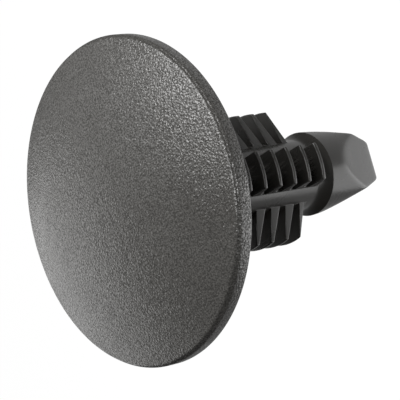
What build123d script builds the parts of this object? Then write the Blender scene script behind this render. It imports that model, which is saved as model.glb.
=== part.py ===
from build123d import *
import math
import os

# Push-in hole plug: a domed head on a barbed shank with a faceted lead-in tip.
# One moulding in black nylon, so one solid.  Units are millimetres.  The origin is the centre
# of the head's seating plane, +Z points up out of the dome, and the shank hangs along -Z.
# Depths are measured downward from the seating plane.

# Head
HEAD_DIAMETER = 30.0
RIM_HEIGHT = 1.5            # side wall and its soft edge, up to where the dome starts
RIM_EDGE_RADIUS = 0.55
DOME_RISE = 2.5             # crown of the dome above the rim
HEAD_WALL = 1.6             # thickness at the crown
SEAT_WIDTH = 1.5            # flat ring under the rim that meets the panel

# Shank core
CORE_DIAMETER = 7.0
CORE_CHAMFER = 0.6          # where the core leaves the head

# Barbs: swept-back rings, left standing only in four columns round the core
BARB_DIAMETER = 13.0        # over the tips of two opposite columns
BARB_PITCH = 1.9
BARB_TIP_THICKNESS = 0.4
LEAD_TIP_THICKNESS = 0.1    # thinner tip of the first barb to enter, on the side columns
BARB_REAR_SLOPE = 0.40      # drop per mm of radius on the face towards the head
BARB_FRONT_SLOPE = 0.66     # drop per mm of radius on the face towards the tip
LEAD_FRONT_SLOPE = 0.58     # the same on a side column's lead barb, which is thinner throughout
COLUMN_WIDTH = 3.6
FIRST_BARB_DEPTH = 3.0      # no barb comes nearer to the seating plane than this
LAST_BARB_GAP = 4.5         # from the last barb tip of a main column to the barrel's shoulder
SIDE_COLUMN_LIFT = 0.6      # side columns' barbs sit this much nearer to the head

# Barrel and tip
SHOULDER_DEPTH = 21.8
SHOULDER_HEIGHT = 1.4       # flare between the core and the barrel
BARREL_DIAMETER = 8.25      # at the shoulder
BARREL_DRAFT = 1.0          # degrees a side
SHANK_LENGTH = 29.85
MAIN_FACET_ANGLE = 20.3     # degrees to the axis, on the sides of the main columns
SIDE_FACET_ANGLE = 15.8
MAIN_END_WIDTH = 3.3        # across the end face, between the main facets
SIDE_END_WIDTH = 3.4        # across the end face, between the side facets
TIP_EDGE_RADIUS = 0.8       # round the end face

CLEAR = 0.5                 # how far a cutting shape stands past what it cuts

NODE = "hole_plug"


def cap_radius(half_width, rise):
    """Radius of the sphere whose cap has this half width and this rise."""
    return (half_width ** 2 + rise ** 2) / (2 * rise)


def turned_body():
    """Head, core, flare and barrel: one half section, turned round the axis."""
    rim = HEAD_DIAMETER / 2
    seat = rim - SEAT_WIDTH
    core = CORE_DIAMETER / 2
    barrel = BARREL_DIAMETER / 2
    barrel_length = SHANK_LENGTH - SHOULDER_DEPTH
    end = barrel - barrel_length * math.tan(math.radians(BARREL_DRAFT))
    crown = RIM_HEIGHT + DOME_RISE
    hollow = crown - HEAD_WALL
    roof_radius = cap_radius(seat, hollow)
    roof_at_core = hollow - roof_radius + math.sqrt(roof_radius ** 2 - core ** 2)

    rim_top = (rim, RIM_HEIGHT)
    core_top = (core, roof_at_core)
    section = make_face([
        RadiusArc((0, crown), rim_top, cap_radius(rim, DOME_RISE)),
        Polyline(rim_top, (rim, 0), (seat, 0)),
        RadiusArc((seat, 0), core_top, -roof_radius),
        Polyline(
            core_top,
            (core, SHOULDER_HEIGHT - SHOULDER_DEPTH),
            (barrel, -SHOULDER_DEPTH),
            (end, -SHANK_LENGTH),
            (0, -SHANK_LENGTH),
            (0, crown),
        ),
    ])
    section = fillet(section.vertices().sort_by_distance(rim_top)[0], RIM_EDGE_RADIUS)
    section = chamfer(section.vertices().sort_by_distance(core_top)[0], CORE_CHAMFER)
    return revolve(Plane.XZ * section, Axis.Z)


def facet_cutter(end_width, angle):
    """Everything outside one sloping facet of the tip, on the +X side."""
    foot = end_width / 2
    reach = BARREL_DIAMETER / 2 + CLEAR
    rise = (reach - foot) / math.tan(math.radians(angle))
    outline = Polyline(
        (foot, -SHANK_LENGTH - CLEAR),
        (foot, -SHANK_LENGTH),
        (reach, rise - SHANK_LENGTH),
        (reach, -SHANK_LENGTH - CLEAR),
        close=True,
    )
    return extrude(Plane.XZ * make_face(outline), amount=BARREL_DIAMETER, both=True)


def facet_cutters():
    """The four facets, a pair on the main columns' sides and a pair on the side columns'."""
    main = facet_cutter(MAIN_END_WIDTH, MAIN_FACET_ANGLE)
    side = facet_cutter(SIDE_END_WIDTH, SIDE_FACET_ANGLE)
    return [
        Rot(0, 0, 90) * main,
        Rot(0, 0, -90) * main,
        side,
        Rot(0, 0, 180) * side,
    ]


def barb_ring(tip_depth, tip_thickness=BARB_TIP_THICKNESS, front_slope=BARB_FRONT_SLOPE):
    """One swept-back barb as a full ring, with its root sunk into the core."""
    tip = BARB_DIAMETER / 2
    root = CORE_DIAMETER / 2 - CLEAR
    width = tip - root
    section = Polyline(
        (tip, -tip_depth),
        (tip, -tip_depth - tip_thickness),
        (root, -tip_depth - tip_thickness - front_slope * width),
        (root, -tip_depth - BARB_REAR_SLOPE * width),
        close=True,
    )
    return revolve(Plane.XZ * make_face(section), Axis.Z)


def barb_columns(lead_barb, last_tip_depth, turn):
    """Two opposite columns of barbs, from the lead barb up to the first one under the head."""
    count = int((last_tip_depth - FIRST_BARB_DEPTH) / BARB_PITCH) + 1
    rings = [lead_barb]
    rings += [barb_ring(last_tip_depth - index * BARB_PITCH) for index in range(1, count)]
    slab = Rot(0, 0, turn) * Box(
        COLUMN_WIDTH, BARB_DIAMETER + 2 * CLEAR, SHANK_LENGTH, align=(Align.CENTER, Align.CENTER, Align.MAX)
    )
    return [ring & slab for ring in rings]


def hole_plug():
    """The whole moulding: turned body, faceted tip and four columns of barbs."""
    main_last = SHOULDER_DEPTH - LAST_BARB_GAP
    side_last = main_last - SIDE_COLUMN_LIFT
    plug = turned_body() - facet_cutters()
    plug = fillet(plug.edges().group_by(Axis.Z)[0], TIP_EDGE_RADIUS)
    plug += barb_columns(barb_ring(main_last), main_last, 0)
    plug += barb_columns(barb_ring(side_last, LEAD_TIP_THICKNESS, LEAD_FRONT_SLOPE), side_last, 90)
    return plug


if __name__ == "__main__":
    os.makedirs("parts", exist_ok=True)
    plug = hole_plug()
    plug.label = NODE
    export_step(plug, f"parts/{NODE}.step")
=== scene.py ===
import logging
import math
from dataclasses import dataclass
from enum import Enum
from typing import Sequence

import bpy
import numpy as np
from mathutils import Matrix, Vector


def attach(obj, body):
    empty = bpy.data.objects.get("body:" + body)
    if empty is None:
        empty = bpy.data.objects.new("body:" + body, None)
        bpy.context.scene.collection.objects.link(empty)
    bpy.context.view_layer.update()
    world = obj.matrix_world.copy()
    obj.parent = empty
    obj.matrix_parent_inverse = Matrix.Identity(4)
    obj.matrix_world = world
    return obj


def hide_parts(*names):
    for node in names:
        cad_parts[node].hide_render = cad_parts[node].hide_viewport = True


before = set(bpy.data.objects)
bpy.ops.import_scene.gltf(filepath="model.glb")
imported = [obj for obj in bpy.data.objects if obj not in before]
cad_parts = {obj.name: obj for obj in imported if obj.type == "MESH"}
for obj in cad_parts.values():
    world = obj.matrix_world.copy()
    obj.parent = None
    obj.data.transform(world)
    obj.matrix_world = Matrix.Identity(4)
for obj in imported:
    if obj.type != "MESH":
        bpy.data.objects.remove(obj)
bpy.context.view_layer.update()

# A push-in hole plug: a domed head on a barbed shank, one moulding in black nylon.
# Sizes are millimetres in the classes and metres in the meshes. The origin is the centre of
# the head's seating plane, +Z points up out of the dome and the shank hangs along -Z.

MM = 0.001
WHITE = (1.0, 1.0, 1.0, 1.0)
ARC_POINTS = 4                       # points on the quarter turn of a small rounded corner
NODE = "hole_plug"

log = logging.getLogger("hole_plug")


# ---------------------------------------------------------------- small helpers


def linear(hex_colour: str) -> tuple[float, float, float, float]:
    """Turns an sRGB hex colour into linear RGBA.

    Args:
        hex_colour: the colour as "#rrggbb".

    Returns:
        The four linear values, alpha 1.
    """
    srgb = np.array([int(hex_colour[i:i + 2], 16) for i in (1, 3, 5)]) / 255.0
    rgb = np.where(srgb <= 0.04045, srgb / 12.92, ((srgb + 0.055) / 1.055) ** 2.4)
    return float(rgb[0]), float(rgb[1]), float(rgb[2]), 1.0


def towards(azimuth: float, elevation: float) -> Vector:
    """Unit vector from the object towards a place round it.

    Args:
        azimuth: degrees, 0 on the -Y side and 90 on the +X side.
        elevation: degrees above the horizon.

    Returns:
        The unit vector.
    """
    turn, rise = math.radians(azimuth), math.radians(elevation)
    level = math.cos(rise)
    return Vector((math.sin(turn) * level, -math.cos(turn) * level, math.sin(rise)))


def ring_faces(rows: int, columns: int) -> np.ndarray:
    """Quads between neighbouring rows of a grid whose columns close on themselves.

    Args:
        rows: number of rows of vertices, each counter-clockwise seen from the last row's side.
        columns: vertices in a row.

    Returns:
        An array of quads, (rows - 1) * columns by 4.
    """
    row = np.arange(rows - 1)[:, None] * columns
    above = row + columns
    column = np.arange(columns)[None, :]
    after = (column + 1) % columns
    quads = np.stack([row + column, row + after, above + after, above + column], axis=-1)
    return quads.reshape(-1, 4)


def cosine_steps(start: float, stop: float, count: int) -> np.ndarray:
    """Values from start to stop that crowd towards both ends, as a half turn's cosine does."""
    return start + (stop - start) * (1 - np.cos(np.linspace(0, math.pi, count))) / 2


def value_noise(x: np.ndarray, y: np.ndarray, cell: float, seed: int) -> np.ndarray:
    """Smooth random heights on a plane.

    Formula: every corner of a square lattice gets a random height from -1 to 1, and a point
    takes the mean of its four corners, weighted by the smoothstep of its place in the square.

    Args:
        x: one coordinate, in mm.
        y: the other coordinate, in mm.
        cell: the lattice's spacing, in mm.
        seed: seed of the random heights.

    Returns:
        The heights, in the shape of x.
    """
    reach = int(math.ceil(max(np.abs(x).max(), np.abs(y).max()) / cell)) + 2
    lattice = np.random.default_rng(seed).uniform(-1, 1, (2 * reach + 1, 2 * reach + 1))
    u, v = x / cell + reach, y / cell + reach
    i, j = np.floor(u).astype(int), np.floor(v).astype(int)
    fu, fv = u - i, v - j
    su, sv = fu * fu * (3 - 2 * fu), fv * fv * (3 - 2 * fv)
    low = lattice[i, j] * (1 - su) + lattice[i + 1, j] * su
    high = lattice[i, j + 1] * (1 - su) + lattice[i + 1, j + 1] * su
    return low * (1 - sv) + high * sv


# ---------------------------------------------------------------- finishes


class Node:
    """Adds nodes to one shader tree."""

    def __init__(self, tree: bpy.types.NodeTree) -> None:
        """Keeps the tree and empties it."""
        self.tree = tree
        tree.nodes.clear()

    def __call__(
        self, kind: str, settings: dict | None = None, links: dict | None = None
    ) -> bpy.types.Node:
        """Adds one node.

        Args:
            kind: the node's type without its "ShaderNode" prefix.
            settings: names of properties, or of sockets, and their values.
            links: names of sockets and the output socket that feeds each.

        Returns:
            The node.
        """
        node = self.tree.nodes.new("ShaderNode" + kind)
        for key, value in (settings or {}).items():
            if isinstance(key, str) and hasattr(node, key):
                setattr(node, key, value)
            else:
                node.inputs[key].default_value = value
        for key, output in (links or {}).items():
            self.tree.links.new(output, node.inputs[key])
        return node


@dataclass(frozen=True)
class MouldedNylon:
    """Black polyamide 66 straight from the mould: its relief and gloss are the mould's own
    surface, while the colour given to each finish holds painted light and shade.
    """

    name: str
    colour: str
    roughness: float
    grain_size: float                # mm, of the fine relief that only shading shows
    grain_height: float              # mm
    roughness_spread: float = 0.06
    specular: float = 0.5
    index: float = 1.53              # of refraction, polyamide 66
    cloud_size: float = 6.0          # mm, slow patches of more and less gloss
    cloud_span: tuple[float, float] = (0.3, 0.7)       # the part of the noise's range in use

    def relief(self, node: Node, place: bpy.types.NodeSocket) -> bpy.types.NodeSocket:
        """The height of the fine relief, from 0 to 1: plain noise.

        Args:
            node: adds nodes to the tree.
            place: the coordinates that the texture reads.

        Returns:
            The height's output.
        """
        scale = 1 / (self.grain_size * MM)
        noise = node("TexNoise", {"Scale": scale, "Detail": 2.0}, {"Vector": place})
        return noise.outputs["Fac"]

    def shine(self, node: Node, place: bpy.types.NodeSocket) -> dict:
        """What feeds specular level and colour: nothing, both stay constant."""
        return {}

    def gloss(self, node: Node, place: bpy.types.NodeSocket) -> bpy.types.NodeSocket:
        """The roughness: slow clouds of more and less gloss.

        Args:
            node: adds nodes to the tree.
            place: the coordinates that the texture reads.

        Returns:
            The roughness's output.
        """
        scale = 1 / (self.cloud_size * MM)
        cloud = node("TexNoise", {"Scale": scale, "Detail": 1.0}, {"Vector": place})
        least, most = self.cloud_span
        low, high = self.roughness - self.roughness_spread, self.roughness + self.roughness_spread
        spread = {"From Min": least, "From Max": most, "To Min": low, "To Max": high}
        return node("MapRange", spread, {"Value": cloud.outputs["Fac"]}).outputs["Result"]

    def material(self) -> bpy.types.Material:
        """Builds the node tree.

        Returns:
            The material.
        """
        material = bpy.data.materials.new(self.name)
        material.use_nodes = True
        node = Node(material.node_tree)
        place = node("TexCoord").outputs["Object"]
        bump = node("Bump", {"Strength": 1.0, "Distance": self.grain_height * MM},
                    {"Height": self.relief(node, place)})
        surface = node("BsdfPrincipled", {
            "Base Color": linear(self.colour),
            "IOR": self.index,
            "Specular IOR Level": self.specular,
        }, {
            "Roughness": self.gloss(node, place),
            "Normal": bump.outputs["Normal"],
            **self.shine(node, place),
        })
        node("OutputMaterial", None, {"Surface": surface.outputs["BSDF"]})
        return material


@dataclass(frozen=True)
class SparkErodedNylon(MouldedNylon):
    """The same nylon off a spark-eroded face of the mould: packed pits, each a tiny mirror, and
    painted shade in the pits.
    """

    pit_share: float = 0.6           # of the relief, the rest is noise
    glint_size: float = 0.14         # mm, of the facets between pits that catch the light
    glint_span: tuple[float, float] = (0.36, 0.64)     # the part of the noise's range in use
    glint_range: tuple[float, float] = (0.18, 0.82)    # specular level in a pit and on a facet
    # The colour's range is painted light: painted shade darkens the pits and a painted highlight
    # lightens the facets.
    shade_and_highlight_range: tuple[float, float] = (0.72, 1.28)     # of the colour, likewise

    def relief(self, node: Node, place: bpy.types.NodeSocket) -> bpy.types.NodeSocket:
        """The height of the grain: rounded pits as close as they pack, over plain noise.

        Args:
            node: adds nodes to the tree.
            place: the coordinates that the texture reads.

        Returns:
            The height's output.
        """
        scale = 1 / (self.grain_size * MM)
        pits = node("TexVoronoi", {"feature": "F1", "Scale": scale}, {"Vector": place})
        noise = node("TexNoise", {"Scale": scale, "Detail": 0.0}, {"Vector": place})
        mix = node("Mix", {"Factor": self.pit_share},
                   {2: noise.outputs["Fac"], 3: pits.outputs["Distance"]})
        return mix.outputs[0]

    def shine(self, node: Node, place: bpy.types.NodeSocket) -> dict:
        """What feeds specular level and colour: dull pits with painted shade, bright facets with a
        painted highlight between them.

        Args:
            node: adds nodes to the tree.
            place: the coordinates that the texture reads.

        Returns:
            Names of sockets and the output that feeds each.
        """
        scale = 1 / (self.glint_size * MM)
        glint = node("TexNoise", {"Scale": scale, "Detail": 0.0}, {"Vector": place})
        least, most = self.glint_span
        facet = node("MapRange", {"From Min": least, "From Max": most},
                     {"Value": glint.outputs["Fac"]})
        low, high = self.glint_range
        level = node("MapRange", {"To Min": low, "To Max": high},
                     {"Value": facet.outputs["Result"]})
        colour = linear(self.colour)[:3]
        # Painted shade and highlight: the colour is darker in the pits and lighter on the facets,
        # by the same noise as the glints.
        pit, top = (tuple(part * share for part in colour) + (1.0,) for share in self.shade_and_highlight_range)
        shade_and_highlight = node("Mix", {"data_type": "RGBA", 6: pit, 7: top}, {0: facet.outputs["Result"]})
        return {"Specular IOR Level": level.outputs["Result"], "Base Color": shade_and_highlight.outputs[2]}


class Finish(Enum):
    """The moulding's two finishes, in the order of the mesh's list of materials."""

    # The head's face of the mould is spark-eroded: a dull, pebbled grain that breaks the light
    # up. Real pits are about 0.05 to 0.15 mm wide, and they are drawn coarser so that they show.
    # Its colour is lighter than the satin one though the nylon is the same: painted light for the
    # light that the grain scatters.
    ERODED = SparkErodedNylon(
        "spark_eroded_nylon_painted_light", colour="#403f3d", roughness=0.29, grain_size=0.20, grain_height=0.050
    )
    # The shank, the seat and the underside come off smooth steel: an even satin, with hardly any
    # relief, which is drawn coarser than the real one too. Its colour is darker than the eroded
    # one though the nylon is the same: painted shade over the whole satin part.
    SATIN = MouldedNylon(
        "satin_nylon_painted_shade", colour="#272624", roughness=0.30, grain_size=0.35, grain_height=0.002
    )

    @property
    def place(self) -> int:
        """Its place in the list of materials."""
        return list(Finish).index(self)


# ---------------------------------------------------------------- the moulding's parts


class Shell:
    """A growing set of closed surfaces that ends as one Blender mesh."""

    def __init__(self) -> None:
        """Starts empty."""
        self.vertices: list[np.ndarray] = []
        self.faces: list[Sequence[int]] = []
        self.finish_of_face: list[int] = []
        self.count = 0

    def add(self, points: np.ndarray, faces: Sequence[Sequence[int]], finish: Finish) -> None:
        """Adds one surface.

        Args:
            points: its vertices in mm, any number by 3.
            faces: its faces, as indices into points.
            finish: the finish of all its faces.
        """
        self.faces += [[index + self.count for index in face] for face in faces]
        self.finish_of_face += [finish.place] * len(faces)
        self.vertices.append(points)
        self.count += len(points)

    def mesh(self, name: str) -> bpy.types.Mesh:
        """Makes the Blender mesh.

        Args:
            name: the mesh's name.

        Returns:
            The mesh in metres, smooth shaded.
        """
        mesh = bpy.data.meshes.new(name)
        mesh.from_pydata(np.concatenate(self.vertices) * MM, [], self.faces)
        finishes = np.array(self.finish_of_face, dtype=np.int32)
        mesh.polygons.foreach_set("material_index", finishes)
        mesh.polygons.foreach_set("use_smooth", np.ones(len(self.faces), dtype=bool))
        mesh.update()
        return mesh


@dataclass
class Head:
    """The domed head: grained dome, ridge and wall, flat satin seat and hollow underside."""

    radius: float = 15.0
    rim_height: float = 1.5          # of the sharp corner that the soft edge rounds off
    edge_radius: float = 0.55        # of the dome's soft edge
    rise: float = 2.5                # of the dome over that corner
    wall: float = 1.6                # thickness at the dome's middle
    seat_width: float = 1.5
    seat_edge: float = 0.12          # soft corners of the seating ring
    hollow_start: float = 0.05       # from the seating ring to the hollow's first ring
    hollow_middle: float = 1.0       # radius of the hollow's flat middle
    hollow_rings: int = 6            # rings of points in the hollow
    lip: float = 0.08                # how far the soft edge has sunk in where the ridge starts
    soft_end: float = 62.0           # degrees that the skin leans where the soft edge ends
    ridge_start: float = 40.0        # the same where the ridge starts
    edge_rings: int = 7              # rings of cells round the soft edge
    ridge_rings: int = 6             # rings of cells round the ridge
    grid: int = 200                  # cells across the dome
    grain_height: float = 0.020      # of the grain that is in the mesh
    grain_cells: tuple[float, float] = (0.50, 0.32)   # two sizes, coarser than real so they show
    grain_shares: tuple[float, float] = (0.55, 0.45)  # of the height, for each size
    grain_seeds: tuple[int, int] = (11, 12)
    grain_margin: float = 0.35       # inside the dome's edge, the grain fades out over this

    @property
    def crown(self) -> float:
        """Height of the dome's top."""
        return self.rim_height + self.rise

    @property
    def dome_radius(self) -> float:
        """Radius of the sphere that the dome is a cap of."""
        return (self.radius ** 2 + self.rise ** 2) / (2 * self.rise)

    @property
    def dome_edge(self) -> float:
        """Distance from the axis at which the dome runs into the rim's soft edge."""
        sphere, edge = self.dome_radius, self.edge_radius
        return sphere * (self.radius - edge) / (sphere - edge)

    def dome_height(self, distance: np.ndarray) -> np.ndarray:
        """Height of the dome's sphere at a distance from the axis."""
        return self.crown - self.dome_radius + np.sqrt(self.dome_radius ** 2 - distance ** 2)

    def grain(self, x: np.ndarray, y: np.ndarray) -> np.ndarray:
        """Height of the spark-eroded grain.

        Formula: a coarse and a fine value noise added up, times a ramp that falls to nothing
        over the margin inside the dome's edge.

        Args:
            x: in mm.
            y: in mm.

        Returns:
            The height above the smooth dome, never above zero so that the dome keeps its size.
        """
        sizes = zip(self.grain_cells, self.grain_shares, self.grain_seeds)
        noise = sum(share * value_noise(x, y, cell, seed) for cell, share, seed in sizes)
        fade = np.clip((self.dome_edge - np.hypot(x, y)) / self.grain_margin, 0, 1)
        return self.grain_height * (noise - 1) / 2 * fade

    def dome(self) -> tuple[np.ndarray, list[list[int]], np.ndarray]:
        """The dome as a square grid bent into a disc, so its cells are all about as large.

        Formula: a grid point (u, v), each from -1 to 1, lies at the distance of the larger of
        |u| and |v| from the axis, and its angle is an eighth of a turn times the smaller over
        the larger, counted from the axis that the larger one lies along.

        Returns:
            The points, the faces and the indices of the edge's points in order.
        """
        steps = np.linspace(-1, 1, self.grid + 1)
        u, v = np.meshgrid(steps, steps, indexing="ij")
        along_u = np.abs(u) >= np.abs(v)
        large, small = np.where(along_u, u, v), np.where(along_u, v, u)
        ratio = np.divide(small, large, out=np.zeros_like(small), where=large != 0) * math.pi / 4
        near, far = large * np.cos(ratio), large * np.sin(ratio)
        x = np.where(along_u, near, far) * self.dome_edge
        y = np.where(along_u, far, near) * self.dome_edge
        z = self.dome_height(np.hypot(x, y)) + self.grain(x, y)
        index = np.arange(x.size).reshape(x.shape)
        quads = np.stack([index[:-1, :-1], index[1:, :-1], index[1:, 1:], index[:-1, 1:]], axis=-1)
        edge = np.concatenate([index[:-1, 0], index[-1, :-1], index[:0:-1, -1], index[0, :0:-1]])
        return np.stack([x, y, z], axis=-1).reshape(-1, 3), quads.reshape(-1, 4).tolist(), edge

    def profile(self) -> np.ndarray:
        """Half section from just past the dome's edge to the hollow's middle.

        Formula: the soft edge is an arc that sinks in with the square of the way gone. The
        ridge is an arc that starts at its end, leaning less, and runs out upright at the full
        radius. Two quarter arcs round the seating ring, and the hollow is part of a sphere.

        Returns:
            Points (distance from the axis, height), none of them on the axis.
        """
        sphere, edge, corner = self.dome_radius, self.edge_radius, self.seat_edge
        centre_x = self.radius - edge
        centre_z = self.crown - sphere + math.sqrt((sphere - edge) ** 2 - centre_x ** 2)
        start = math.asin(centre_x / (sphere - edge))
        stop, rise = math.radians(self.soft_end), math.radians(self.ridge_start)
        turn = np.linspace(start, stop, self.edge_rings + 1)[1:]
        sunk = self.lip * ((turn - start) / (stop - start)) ** 2
        soft = np.stack([
            centre_x + edge * np.sin(turn) - sunk,
            centre_z + edge * np.cos(turn),
        ], axis=-1)
        foot_x, foot_z = soft[-1]
        ridge_radius = (self.radius - foot_x) / (1 - math.sin(rise))
        lean = np.linspace(rise, math.pi / 2, self.ridge_rings + 1)[1:]
        ridge = np.stack([
            self.radius - ridge_radius * (1 - np.sin(lean)),
            foot_z + ridge_radius * (np.cos(lean) - math.cos(rise)),
        ], axis=-1)
        quarter = np.linspace(0, math.pi / 2, ARC_POINTS)
        across, up = corner * np.cos(quarter), corner * np.sin(quarter)
        outer = np.stack([self.radius - corner + across, corner - up], axis=-1)
        inner_edge = self.radius - self.seat_width
        inner = np.stack([inner_edge + corner - up, corner - across], axis=-1)
        deep = self.crown - self.wall
        roof = (inner_edge ** 2 + deep ** 2) / (2 * deep)
        first = inner_edge - self.hollow_start
        distance = np.linspace(first, self.hollow_middle, self.hollow_rings)
        height = deep - roof + np.sqrt(roof ** 2 - distance ** 2)
        hollow = np.stack([distance, height], axis=-1)
        return np.concatenate([soft, ridge, outer, inner, hollow])

    def build(self, shell: Shell) -> None:
        """Adds the head's closed surface to the shell.

        Formula: the profile is turned round the axis, one column for each point of the dome's
        edge, and a flat face closes the hollow's middle.

        Args:
            shell: what it is added to.
        """
        points, faces, edge = self.dome()
        profile = self.profile()
        angle = np.arctan2(points[edge, 1], points[edge, 0])
        rings = np.stack([
            profile[:, :1] * np.cos(angle),
            profile[:, :1] * np.sin(angle),
            np.repeat(profile[:, 1:], len(edge), axis=1),
        ], axis=-1).reshape(-1, 3)
        columns = len(edge)
        lookup = np.concatenate([edge, len(points) + np.arange(len(rings))])
        quads = lookup[ring_faces(len(profile) + 1, columns)]
        cap = lookup[-columns:][::-1]
        # The dome, its soft edge, the ridge and the wall are grained, and they come first.
        grained = len(faces) + (self.edge_rings + self.ridge_rings + 1) * columns
        faces = faces + quads[:, ::-1].tolist() + [cap.tolist()]
        start = len(shell.finish_of_face)
        shell.add(np.concatenate([points, rings]), faces, Finish.SATIN)
        shell.finish_of_face[start:start + grained] = [Finish.ERODED.place] * grained


@dataclass
class Shank:
    """Core, flare, drafted barrel and the faceted lead-in tip, as one skin round the axis."""

    core_radius: float = 3.5
    top: float = 3.0                 # above the seat: the skin starts inside the head's wall
    root_flare: float = 0.6          # of the core into the hollow's roof
    root_height: float = 2.3         # above the seat, where the core meets the hollow's roof
    foot_depth: float = 19.8         # where the core starts to widen to the barrel
    shoulder_depth: float = 21.2     # of the barrel's crisp upper edge
    barrel_radius: float = 4.154     # at the shoulder
    flare_power: float = 1.5         # of the flare's curve: 1 is a plain cone, above it hollow
    crease: float = 0.03             # each side of the shoulder's edge
    draft: float = 1.0               # degrees a side
    length: float = 29.85            # below the seat
    facet_angles: tuple[float, float] = (20.3, 15.8)   # degrees, on the +-Y and +-X sides
    end_widths: tuple[float, float] = (3.3, 3.78)      # of the end face, likewise
    turn_depth: float = 25.2         # below here the rows fan out from one centre
    facet_softness: float = 44.0     # powers of the smooth minimum: higher is crisper
    end_softness: float = 15.0
    columns: int = 192
    inside_rows: int = 3             # rows of points inside the head's wall
    root_rows: int = 7               # along the flare into the roof
    core_rows: int = 12              # along the plain core
    core_start: float = 0.8          # above the seat, the plain core's first row
    core_end: float = 0.9            # above the foot, its last row
    foot_rows: int = 4               # along the core's last stretch
    foot_start: float = 0.6          # above the foot, where that stretch starts
    flare_rows: int = 16             # along the flare out to the barrel
    barrel_rows: int = 18            # along the barrel
    barrel_start: float = 0.3        # below the shoulder, the barrel's first row
    tip_rows: int = 53               # of the fan, both its ends counted

    def radius(self, depth: np.ndarray) -> np.ndarray:
        """Radius of the round body under the facets.

        Formula: the core's radius, a quarter-round flare into the head's roof, a lower flare
        that rises to the barrel with a power of the way gone, and the drafted barrel.

        Args:
            depth: distance below the seating plane, in mm.

        Returns:
            The radius at each depth.
        """
        below = (depth - self.shoulder_depth).clip(0)
        barrel = self.barrel_radius - below * math.tan(math.radians(self.draft))
        done = ((depth - self.foot_depth) / (self.shoulder_depth - self.foot_depth)).clip(0, 1)
        body = self.core_radius + (barrel - self.core_radius) * done ** self.flare_power
        into = np.clip(-depth - (self.root_height - self.root_flare), 0, self.root_flare)
        return body + self.root_flare - np.sqrt(self.root_flare ** 2 - into ** 2)

    def reach(self, centre_depth: np.ndarray, direction: np.ndarray) -> np.ndarray:
        """Distance from a point on the axis to the skin.

        Formula: each wall (round body, four facets, end face) would stop the ray where the
        ray's part along the wall's normal equals the wall's distance. The inverse distances of
        the sides are joined by a power sum, and the end face by a softer one, which rounds the
        edges as a fillet does.

        Args:
            centre_depth: depth of the point, in mm.
            direction: unit vectors, with their parts in the last axis.

        Returns:
            The distances, in mm.
        """
        draft = math.radians(self.draft)
        outward = np.hypot(direction[..., 0], direction[..., 1])
        leaning = np.abs(direction[..., 2]) * math.tan(draft)
        round_body = (outward - leaning).clip(0) / self.radius(centre_depth)
        sides = round_body ** self.facet_softness
        for axis, angle, width in zip((1, 0), self.facet_angles, self.end_widths):
            cos, sin = math.cos(math.radians(angle)), math.sin(math.radians(angle))
            stand = cos * width / 2 + sin * (self.length - centre_depth)
            along = cos * np.abs(direction[..., axis]) - sin * direction[..., 2]
            sides = sides + (along.clip(0) / stand) ** self.facet_softness
        side = sides ** (1 / self.facet_softness)
        end = (-direction[..., 2]).clip(0) / (self.length - centre_depth)
        return (side ** self.end_softness + end ** self.end_softness) ** (-1 / self.end_softness)

    def build(self, shell: Shell) -> None:
        """Adds the shank's closed skin to the shell.

        Formula: rows of rays leave the axis level, one row at each depth, and below the turn
        depth the rows leave one centre and tilt down, to straight down at the tip. Each ray
        ends where it reaches the skin.

        Args:
            shell: what it is added to.
        """
        foot, shoulder, root = self.foot_depth, self.shoulder_depth, -self.root_height
        depth = np.concatenate([
            np.linspace(-self.top, root, self.inside_rows),
            cosine_steps(root, root + self.root_flare, self.root_rows)[1:],
            np.linspace(-self.core_start, foot - self.core_end, self.core_rows),
            np.linspace(foot - self.foot_start, foot, self.foot_rows),
            np.linspace(foot, shoulder - 2 * self.crease, self.flare_rows)[1:],
            shoulder + self.crease * np.array([-1, 0, 1, 2]),
            np.linspace(shoulder + self.barrel_start, self.turn_depth, self.barrel_rows),
        ])
        fan_tilt = np.radians(np.linspace(0, 90, self.tip_rows)[1:-1])
        tilt = np.concatenate([np.zeros(len(depth)), fan_tilt])[:, None]
        centre = np.concatenate([depth, np.full(len(fan_tilt), self.turn_depth)])[:, None]
        turn = np.arange(self.columns)[None, :] * 2 * math.pi / self.columns
        direction = np.stack([
            np.cos(tilt) * np.cos(turn),
            np.cos(tilt) * np.sin(turn),
            -np.sin(tilt) * np.ones_like(turn),
        ], axis=-1)
        distance = self.reach(centre, direction)
        points = distance[..., None] * direction
        points[..., 2] -= centre
        rows = len(centre)
        tip = rows * self.columns
        last = tip - self.columns + np.arange(self.columns)
        cone = np.stack([last, np.full(self.columns, tip), np.roll(last, -1)], axis=-1)
        faces = ring_faces(rows, self.columns)[:, ::-1].tolist() + cone.tolist()
        faces.append(np.arange(self.columns).tolist())
        points = np.concatenate([points.reshape(-1, 3), [[0.0, 0.0, -self.length]]])
        shell.add(points, faces, Finish.SATIN)


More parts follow.
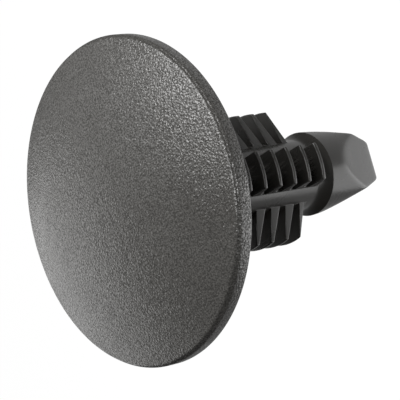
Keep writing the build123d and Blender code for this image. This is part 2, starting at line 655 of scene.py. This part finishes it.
@dataclass(frozen=True)
class Barb:
    """One swept-back barb: a slice of a ring, with its root sunk into the core."""

    tip_depth: float                 # of the upper corner of the barb's tip
    tip_thickness: float
    rear_slope: float                # drop per mm inwards, on the face towards the head
    front_slope: float               # the same on the face towards the shank's tip
    edge: float                      # radius of the soft edges along its sides
    corner: float = 1.5              # the section's own corners have this times that radius
    tip_radius: float = 6.5
    root_radius: float = 3.0         # inside the core
    half_width: float = 1.8
    points_across: int = 11          # over the flat middle, both its ends counted

    def section(self, inset: np.ndarray, corner: np.ndarray) -> np.ndarray:
        """The barb's outline in the half plane through the axis, moved inwards and rounded.

        Formula: four straight sides are moved inwards by the inset plus the corner's radius,
        neighbours meet at the corner's centre, and an arc of that radius turns from one side's
        normal to the next one's.

        Args:
            inset: how far each outline is moved inwards, in mm, one value for each outline.
            corner: radius of its corners, in mm, likewise.

        Returns:
            Points (radius, height), outlines by points by 2.
        """
        width = self.tip_radius - self.root_radius
        tip, root = self.tip_radius, self.root_radius
        corners = np.array([
            (root, -self.tip_depth - self.rear_slope * width),
            (root, -self.tip_depth - self.tip_thickness - self.front_slope * width),
            (tip, -self.tip_depth - self.tip_thickness),
            (tip, -self.tip_depth),
        ])
        side = np.roll(corners, -1, axis=0) - corners
        heading = np.arctan2(side[:, 1], side[:, 0]) - math.pi / 2
        normal = np.stack([np.cos(heading), np.sin(heading)], axis=-1)
        level = (normal * corners).sum(axis=1)[None, :] - (inset + corner)[:, None]
        before = np.roll(normal, 1, axis=0)
        level_before = np.roll(level, 1, axis=1)
        cross = before[:, 0] * normal[:, 1] - before[:, 1] * normal[:, 0]
        centre = np.stack([
            (level_before * normal[:, 1] - level * before[:, 1]) / cross,
            (level * before[:, 0] - level_before * normal[:, 0]) / cross,
        ], axis=-1)
        start = np.roll(heading, 1)
        sweep = (heading - start) % (2 * math.pi)
        turn = start[:, None] + sweep[:, None] * np.linspace(0, 1, ARC_POINTS)[None, :]
        arc = np.stack([np.cos(turn), np.sin(turn)], axis=-1)
        outline = centre[:, :, None, :] + corner[:, None, None, None] * arc[None]
        return outline.reshape(len(inset), -1, 2)

    def build(self, shell: Shell, turn: float) -> None:
        """Adds the barb's closed surface to the shell.

        Formula: the section is carried across the column's width. Within one edge's radius of a
        side, the place follows the sine of a quarter turn and the inset one minus its cosine. A
        point at radius r and place x across lies at the root of r squared less x squared out.

        Args:
            shell: what it is added to.
            turn: degrees from the -Y side round to the column.
        """
        quarter = np.linspace(0, math.pi / 2, ARC_POINTS)
        flat = self.half_width - self.edge
        rounding = flat + self.edge * np.sin(quarter)
        middle = np.linspace(-flat, flat, self.points_across)[1:-1]
        across = np.concatenate([-rounding[::-1], middle, rounding])
        side_inset = self.edge * (1 - np.cos(quarter))
        inset = np.concatenate([side_inset[::-1], np.zeros(len(middle)), side_inset])
        outline = self.section(inset, self.corner * self.edge - inset)
        count = outline.shape[1]
        x = np.repeat(across[:, None], count, axis=1)
        out = -np.sqrt(outline[..., 0] ** 2 - x ** 2)
        angle = math.radians(turn)
        points = np.stack([
            x * math.cos(angle) - out * math.sin(angle),
            x * math.sin(angle) + out * math.cos(angle),
            outline[..., 1],
        ], axis=-1).reshape(-1, 3)
        faces = ring_faces(len(across), count)[:, ::-1].tolist()
        last = (len(across) - 1) * count + np.arange(count)
        faces += [np.arange(count).tolist(), last[::-1].tolist()]
        shell.add(points, faces, Finish.SATIN)


@dataclass
class BarbColumns:
    """Four columns of barbs, the side ones set a little nearer to the head."""

    pitch: float = 1.9
    count: int = 8                   # in a column
    main_depth: float = 17.3         # tip of the main columns' last barb
    side_lift: float = 0.6           # of the side columns, towards the head
    rear_slope: float = 0.40
    tip_thickness: float = 0.4
    front_slope: float = 0.66
    edge: float = 0.09
    lead_thickness: float = 0.1      # the side columns' last barb is a thinner, sharper one
    lead_front_slope: float = 0.58
    lead_edge: float = 0.04

    def build(self, shell: Shell) -> None:
        """Adds every barb to the shell.

        Args:
            shell: what they are added to.
        """
        for turn in (0, 90, 180, 270):
            side = turn % 180 == 90
            last = self.main_depth - (self.side_lift if side else 0)
            for index in range(self.count):
                lead = side and index == 0
                barb = Barb(
                    tip_depth=last - index * self.pitch,
                    tip_thickness=self.lead_thickness if lead else self.tip_thickness,
                    rear_slope=self.rear_slope,
                    front_slope=self.lead_front_slope if lead else self.front_slope,
                    edge=self.lead_edge if lead else self.edge,
                )
                barb.build(shell, turn)


@dataclass
class HolePlug:
    """The whole moulding: head, shank and barbs joined into one closed surface."""

    head: Head
    shank: Shank
    barbs: BarbColumns

    def part(self, name: str, builder: Head | Shank | BarbColumns) -> bpy.types.Object:
        """Makes one object of what a builder adds.

        Args:
            name: the object's name.
            builder: the part of the moulding.

        Returns:
            The object, linked to the scene.
        """
        shell = Shell()
        builder.build(shell)
        piece = bpy.data.objects.new(name, shell.mesh(name))
        bpy.context.scene.collection.objects.link(piece)
        for finish in Finish:
            made = bpy.data.materials.get(finish.value.name)
            piece.data.materials.append(made or finish.value.material())
        return piece

    def build(self) -> bpy.types.Object:
        """Builds the moulding and hangs it on the frame.

        Returns:
            The finished piece.
        """
        piece = self.part("plug_moulding", self.head)
        others = [self.part("shank", self.shank), self.part("barbs", self.barbs)]
        for other in others:
            union = piece.modifiers.new(other.name, "BOOLEAN")
            union.operation, union.solver, union.object = "UNION", "MANIFOLD", other
        bpy.context.view_layer.update()
        joined = piece.evaluated_get(bpy.context.evaluated_depsgraph_get())
        whole = bpy.data.meshes.new_from_object(joined)
        piece.modifiers.clear()
        piece.data = whole
        for other in others:
            bpy.data.objects.remove(other)
        piece.modifiers.new("even_shading", "WEIGHTED_NORMAL").keep_sharp = False
        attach(piece, "root")
        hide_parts(NODE)
        return piece


# ---------------------------------------------------------------- the studio


@dataclass(frozen=True)
class Softbox:
    """A round soft lamp."""

    name: str
    azimuth: float
    elevation: float
    power: float                     # watts
    distance: float = 0.30           # metres
    size: float = 0.16               # metres

    def build(self) -> None:
        """Adds the lamp, facing the object."""
        data = bpy.data.lights.new(self.name, "AREA")
        data.shape, data.size, data.energy = "DISK", self.size, self.power
        lamp = bpy.data.objects.new(self.name, data)
        away = towards(self.azimuth, self.elevation)
        facing = away.to_track_quat("Z", "Y").to_matrix().to_4x4()
        lamp.matrix_world = Matrix.Translation(away * self.distance) @ facing
        lamp.visible_camera = False
        bpy.context.scene.collection.objects.link(lamp)


@dataclass
class Studio:
    """Camera, lamps, pale floor and white surroundings."""

    lens: float = 143.7
    sensor: float = 36.0
    camera_azimuth: float = -8.9     # degrees, as all the camera's angles
    camera_elevation: float = 40.9
    camera_roll: float = -99.4       # the plug is shown lying on its side
    camera_distance: float = 143.6   # from the aim
    aim: tuple[float, float, float] = (-1.4, -3.5, -4.2)
    clip: tuple[float, float] = (1.0, 20000.0)
    floor_colour: str = "#f4f4f4"
    floor_depth: float = 260.0       # under the seating plane
    floor_size: float = 4000.0
    floor_share: float = 0.12        # how much of the lit floor, with its shadow, the camera sees
    white_strength: float = 1.10     # of the white in the rest: over 1, to make up for that share
    lamps: tuple[Softbox, ...] = (
        Softbox("key", 80, 50, 1.70, size=0.30),
        Softbox("front", 0, 45, 0.45),
        Softbox("back", 190, 10, 0.35, size=0.30),
        Softbox("side", 150, 30, 0.12, size=0.30),
        Softbox("low", 330, -20, 0.15),
        Softbox("under", 320, -60, 0.13, distance=0.20),
        Softbox("tip", 0, -85, 0.02, distance=0.20),
    )

    def camera(self) -> None:
        """Adds the camera and makes it the scene's own."""
        data = bpy.data.cameras.new("product_camera")
        data.sensor_width, data.lens = self.sensor, self.lens
        data.clip_start, data.clip_end = (distance * MM for distance in self.clip)
        camera = bpy.data.objects.new("product_camera", data)
        back = towards(self.camera_azimuth, self.camera_elevation)
        right = Vector((0, 0, 1)).cross(back).normalized()
        facing = Matrix((right, back.cross(right), back)).transposed()
        facing = facing @ Matrix.Rotation(math.radians(self.camera_roll), 3, "Z")
        place = Vector(self.aim) * MM + back * self.camera_distance * MM
        camera.matrix_world = Matrix.Translation(place) @ facing.to_4x4()
        bpy.context.scene.collection.objects.link(camera)
        bpy.context.scene.camera = camera

    def white_for_camera(self, node: Node, plain: bpy.types.NodeSocket) -> bpy.types.NodeSocket:
        """Mixes a shader with plain white light for what the camera sees, also through glass.

        Args:
            node: adds nodes to the tree.
            plain: the shader's output.

        Returns:
            The mixed shader's output.
        """
        path = node("LightPath")
        either = node("Math", {"operation": "MAXIMUM"},
                      {0: path.outputs["Is Camera Ray"], 1: path.outputs["Is Transmission Ray"]})
        share = node("Math", {"operation": "MULTIPLY", 1: 1 - self.floor_share},
                     {0: either.outputs[0]})
        white = node("Emission", {"Strength": self.white_strength, "Color": WHITE})
        mix = node("MixShader", None, {0: share.outputs[0], 1: plain, 2: white.outputs[0]})
        return mix.outputs[0]

    def floor(self) -> None:
        """Adds the pale floor, which keeps part of the object's shadow."""
        half = self.floor_size * MM / 2
        corners = np.array([(-half, -half), (half, -half), (half, half), (-half, half)])
        points = np.column_stack([corners, np.full(4, -self.floor_depth * MM)])
        mesh = bpy.data.meshes.new("studio_floor")
        mesh.from_pydata(points, [], [(0, 1, 2, 3)])
        floor = bpy.data.objects.new("studio_floor", mesh)
        material = bpy.data.materials.new("pale_paper")
        material.use_nodes = True
        node = Node(material.node_tree)
        paper = node("BsdfDiffuse", {"Color": linear(self.floor_colour)})
        seen = self.white_for_camera(node, paper.outputs[0])
        node("OutputMaterial", None, {"Surface": seen})
        mesh.materials.append(material)
        bpy.context.scene.collection.objects.link(floor)

    def world(self) -> None:
        """Sets surroundings that the camera sees as white and that light nothing."""
        world = bpy.data.worlds.new("white_studio")
        world.use_nodes = True
        bpy.context.scene.world = world
        node = Node(world.node_tree)
        path = node("LightPath")
        sky = node("Background", {"Color": WHITE}, {"Strength": path.outputs["Is Camera Ray"]})
        node("OutputWorld", None, {"Surface": sky.outputs[0]})

    def build(self) -> None:
        """Adds everything round the object."""
        self.camera()
        self.floor()
        self.world()
        for lamp in self.lamps:
            lamp.build()
        bpy.context.scene.view_settings.view_transform = "Standard"


def main() -> None:
    """Builds the plug and its studio."""
    logging.basicConfig(level=logging.INFO, format="%(name)s: %(message)s")
    piece = HolePlug(Head(), Shank(), BarbColumns()).build()
    log.info("%s: %d faces", piece.name, len(piece.data.polygons))
    Studio().build()


if __name__ == "__main__":
    main()
